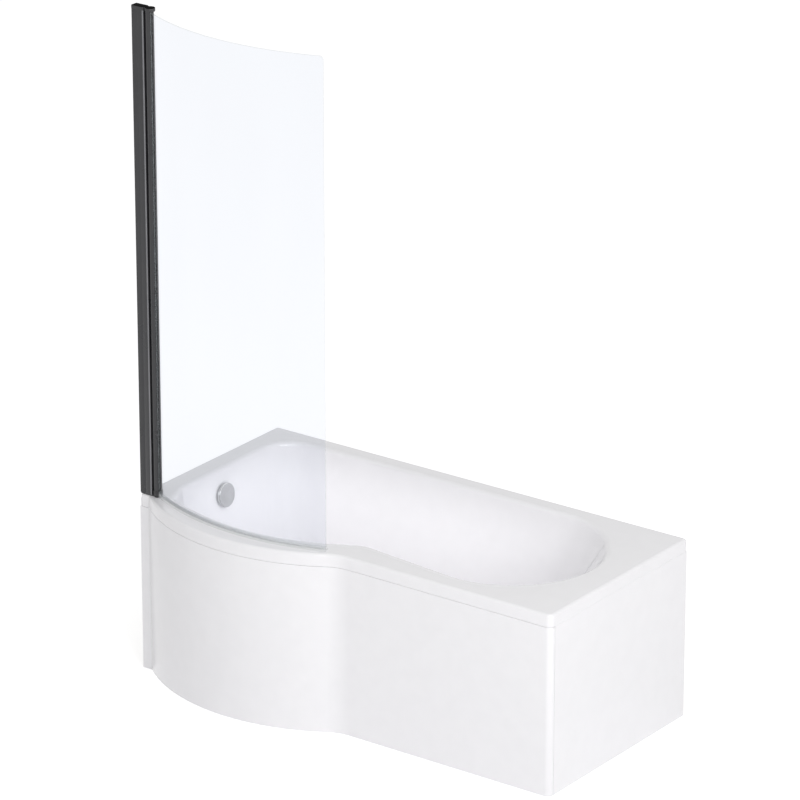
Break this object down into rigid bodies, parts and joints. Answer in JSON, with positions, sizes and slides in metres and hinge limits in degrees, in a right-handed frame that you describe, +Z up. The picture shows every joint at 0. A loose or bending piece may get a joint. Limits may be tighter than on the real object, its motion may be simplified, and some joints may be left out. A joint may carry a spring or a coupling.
{
  "type": "p shaped shower bath",
  "caption": "P shaped acrylic shower bath on an adjustable leg frame, with front and end panels, waste and overflow, and a curved glass screen on a black pivot post.",
  "frame": {"origin": "on the floor under the middle of the plan's bounding box", "axes": "+X along the bath from the shower end to the foot end, +Y to the back wall, +Z up"},
  "size_m": [1.5, 0.803, 2.075],
  "materials": {
    "acrylic": "gloss white acrylic sheet",
    "board": "chipboard sealed under resin",
    "timber": "planed softwood",
    "zinc_steel": "zinc plated steel",
    "foot_plastic": "black moulded plastic",
    "chrome": "polished",
    "brass_stem": "turned",
    "black_rubber": "moulded",
    "white_plastic": "moulded polypropylene",
    "hose_plastic": "ribbed polypropylene",
    "black_aluminium": "powder coated, satin black",
    "black_plastic": "satin black",
    "screen_glass": "clear toughened glass",
    "seal_strip": "translucent soft vinyl"
  },
  "bodies": {
    "bath": {"bath_shell": "acrylic", "baseboard": "board", "rim_batten_back": "timber", "rim_batten_front": "timber", "rim_batten_end": "timber", "front_panel": "acrylic", "front_panel_strips": "timber", "end_panel": "acrylic", "end_panel_strips": "timber", "panel_brackets": "zinc_steel", "panel_screws": "zinc_steel", "wall_brackets": "zinc_steel", "bracket_screws": "zinc_steel", "leg_rail_1": "zinc_steel", "leg_rail_2": "zinc_steel", "rail_screws": "zinc_steel", "centre_foot_plate": "zinc_steel", "foot_nuts": "zinc_steel", "waste_flange": "chrome", "plug_spring": "zinc_steel", "waste_seal_upper": "black_rubber", "waste_seal_lower": "black_rubber", "waste_body": "white_plastic", "trap_nut": "white_plastic", "trap_body": "white_plastic", "overflow_cover": "chrome", "overflow_seal": "black_rubber", "overflow_body": "white_plastic", "overflow_hose": "hose_plastic", "hose_nuts": "white_plastic", "wall_channel": "black_aluminium", "adjuster_profile": "black_aluminium", "adjuster_screws": "black_plastic", "top_cap": "black_plastic", "top_pivot_pin": "zinc_steel", "bottom_bracket": "black_plastic", "bottom_pivot_pin": "zinc_steel", "lower_cam": "black_plastic"},
    "screen": {"pivot_profile": "black_aluminium", "upper_cam": "black_plastic", "glass_gasket": "black_rubber", "screen_glass": "screen_glass", "bottom_seal": "seal_strip"},
    "plug": {"waste_plug": "chrome", "plug_seal": "black_rubber", "plug_stem": "brass_stem"},
    "foot_1": {"foot_stud_1": "zinc_steel", "foot_pad_1": "foot_plastic"},
    "foot_2": {"foot_stud_2": "zinc_steel", "foot_pad_2": "foot_plastic"},
    "foot_3": {"foot_stud_3": "zinc_steel", "foot_pad_3": "foot_plastic"},
    "foot_4": {"foot_stud_4": "zinc_steel", "foot_pad_4": "foot_plastic"},
    "foot_5": {"foot_stud_5": "zinc_steel", "foot_pad_5": "foot_plastic"}
  },
  "joints": [
    {"name": "screen_pivot", "type": "hinge", "parent": "bath", "child": "screen", "pos_m": [-0.6913, -0.255, 0.6], "axis": [0, 0, 1], "range_deg": [-75, 70]},
    {"name": "plug_press", "type": "slide", "parent": "bath", "child": "plug", "axis": [0, 0, -1], "range_m": [0, 0.009], "stiffness_N_per_m": 400, "springref_m": -0.004, "deforming": ["plug_spring"]},
    {"name": "foot_1_adjust", "type": "slide", "parent": "bath", "child": "foot_1", "axis": [0, 0, -1], "range_m": [-0.006, 0.012]},
    {"name": "foot_2_adjust", "type": "slide", "parent": "bath", "child": "foot_2", "axis": [0, 0, -1], "range_m": [-0.006, 0.012]},
    {"name": "foot_3_adjust", "type": "slide", "parent": "bath", "child": "foot_3", "axis": [0, 0, -1], "range_m": [-0.006, 0.012]},
    {"name": "foot_4_adjust", "type": "slide", "parent": "bath", "child": "foot_4", "axis": [0, 0, -1], "range_m": [-0.006, 0.012]},
    {"name": "foot_5_adjust", "type": "slide", "parent": "bath", "child": "foot_5", "axis": [0, 0, -1], "range_m": [-0.006, 0.012]}
  ]
}
